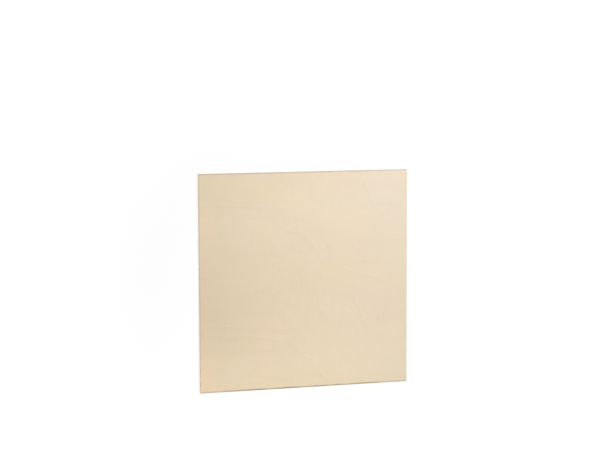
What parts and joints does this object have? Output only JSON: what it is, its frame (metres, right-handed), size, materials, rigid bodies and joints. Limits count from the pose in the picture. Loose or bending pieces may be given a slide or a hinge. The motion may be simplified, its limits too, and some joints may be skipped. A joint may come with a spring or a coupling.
{
  "type": "plywood sheet",
  "caption": "Square sheet of thin birch plywood with a sanded show face and sawn edges, lying flat.",
  "frame": {"origin": "centre of the back, the face that the sheet lies on", "axes": "+X along the face grain, +Y across the face grain, +Z out of the show face"},
  "size_m": [0.3, 0.3, 0.003],
  "materials": {
    "birch_plywood": "satin"
  },
  "bodies": {
    "root": {"plywood_sheet": "birch_plywood"}
  },
  "joints": []
}
